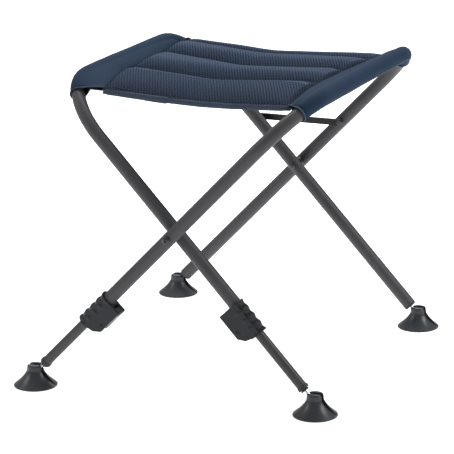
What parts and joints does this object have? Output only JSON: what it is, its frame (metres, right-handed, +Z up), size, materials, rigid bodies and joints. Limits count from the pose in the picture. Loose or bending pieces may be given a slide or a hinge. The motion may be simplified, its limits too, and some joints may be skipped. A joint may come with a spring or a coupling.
{
  "type": "folding camp stool",
  "caption": "Folding stool with crossed U-shaped tube frames, a padded sling seat, telescopic clamped front legs, a hooked stay and swivel feet.",
  "frame": {"origin": "on the floor, under the middle of the stool", "axes": "+Z up; X from the left-hand seat bar to the right-hand one, Y along the seat bars from front to rear"},
  "size_m": [0.4487, 0.5126, 0.4144],
  "materials": {
    "frame_coat": "matte",
    "steel": "satin",
    "bright_steel": "polished",
    "black_steel": "satin",
    "grey_plastic": "matte",
    "black_plastic": "matte",
    "seat_mesh": "woven mesh",
    "seat_cloth": "plain weave",
    "tape": "woven tape"
  },
  "bodies": {
    "outer_frame": {"outer_frame_tube": "frame_coat", "pivot_bolts": "steel", "pivot_spacers": "black_plastic", "pivot_nuts": "steel", "slide_bush_left": "black_plastic", "clamp_body_left": "grey_plastic", "lever_pin_left": "black_steel", "end_plug_rear_left": "grey_plastic", "ball_stud_rear_left": "bright_steel", "stay_rivet": "steel", "seat_panel": "seat_mesh", "seat_backing": "seat_cloth", "sleeve_right": "seat_cloth", "binding_front": "tape", "binding_rear": "tape", "mouth_tape_right": "tape"},
    "inner_frame": {"inner_frame_tube": "frame_coat", "slide_bush_right": "black_plastic", "clamp_body_right": "grey_plastic", "lever_pin_right": "black_steel", "end_plug_rear_right": "grey_plastic", "ball_stud_rear_right": "bright_steel", "stay_stud": "steel", "sleeve_left": "seat_cloth", "mouth_tape_left": "tape"},
    "leg_left": {"lower_leg_left": "frame_coat", "leg_plug_left": "grey_plastic", "ball_stud_front_left": "bright_steel"},
    "leg_right": {"lower_leg_right": "frame_coat", "leg_plug_right": "grey_plastic", "ball_stud_front_right": "bright_steel"},
    "lever_left": {"clamp_lever_left": "grey_plastic"},
    "lever_right": {"clamp_lever_right": "grey_plastic"},
    "swivel_front_left": {"foot_front_left": "grey_plastic"},
    "swivel_front_right": {"foot_front_right": "grey_plastic"},
    "swivel_rear_left": {"foot_rear_left": "grey_plastic"},
    "swivel_rear_right": {"foot_rear_right": "grey_plastic"},
    "stay": {"stay_bar": "black_steel"}
  },
  "joints": [
    {"name": "frame_fold", "type": "hinge", "parent": "outer_frame", "child": "inner_frame", "pos_m": [0.006, 0, 0.222], "axis": [0, 1, 0], "range_deg": [0, 69], "deforming": ["seat_panel", "seat_backing", "binding_front", "binding_rear"]},
    {"name": "stay_lift", "type": "hinge", "parent": "outer_frame", "child": "stay", "pos_m": [0.06875, 0.2135, 0.286], "axis": [0, 1, 0], "range_deg": [0, 117]},
    {"name": "leg_slide_left", "type": "slide", "parent": "outer_frame", "child": "leg_left", "axis": [-0.7001, 0, -0.714], "range_m": [-0.05, 0.04]},
    {"name": "leg_slide_right", "type": "slide", "parent": "inner_frame", "child": "leg_right", "axis": [0.6778, 0, -0.7352], "range_m": [-0.05, 0.04]},
    {"name": "lever_left_flip", "type": "hinge", "parent": "outer_frame", "child": "lever_left", "pos_m": [-0.08958, -0.227, 0.0978], "axis": [0, 1, 0], "range_deg": [0, 110]},
    {"name": "lever_right_flip", "type": "hinge", "parent": "inner_frame", "child": "lever_right", "pos_m": [0.09212, -0.2, 0.101], "axis": [0, -1, 0], "range_deg": [0, 110]},
    {"name": "foot_front_left_tilt", "type": "hinge", "parent": "leg_left", "child": "swivel_front_left", "pos_m": [-0.195, -0.227, 0.017], "axis": [0, 1, 0], "range_deg": [-20, 60]},
    {"name": "foot_rear_left_tilt", "type": "hinge", "parent": "outer_frame", "child": "swivel_rear_left", "pos_m": [-0.195, 0.227, 0.017], "axis": [0, 1, 0], "range_deg": [-20, 60]},
    {"name": "foot_front_right_tilt", "type": "hinge", "parent": "leg_right", "child": "swivel_front_right", "pos_m": [0.195, -0.2, 0.017], "axis": [0, -1, 0], "range_deg": [-20, 60]},
    {"name": "foot_rear_right_tilt", "type": "hinge", "parent": "inner_frame", "child": "swivel_rear_right", "pos_m": [0.195, 0.2, 0.017], "axis": [0, -1, 0], "range_deg": [-20, 60]}
  ],
  "couplings": [
    {"joint": "stay_lift", "follows": "frame_fold", "ratio": 1.6957}
  ]
}
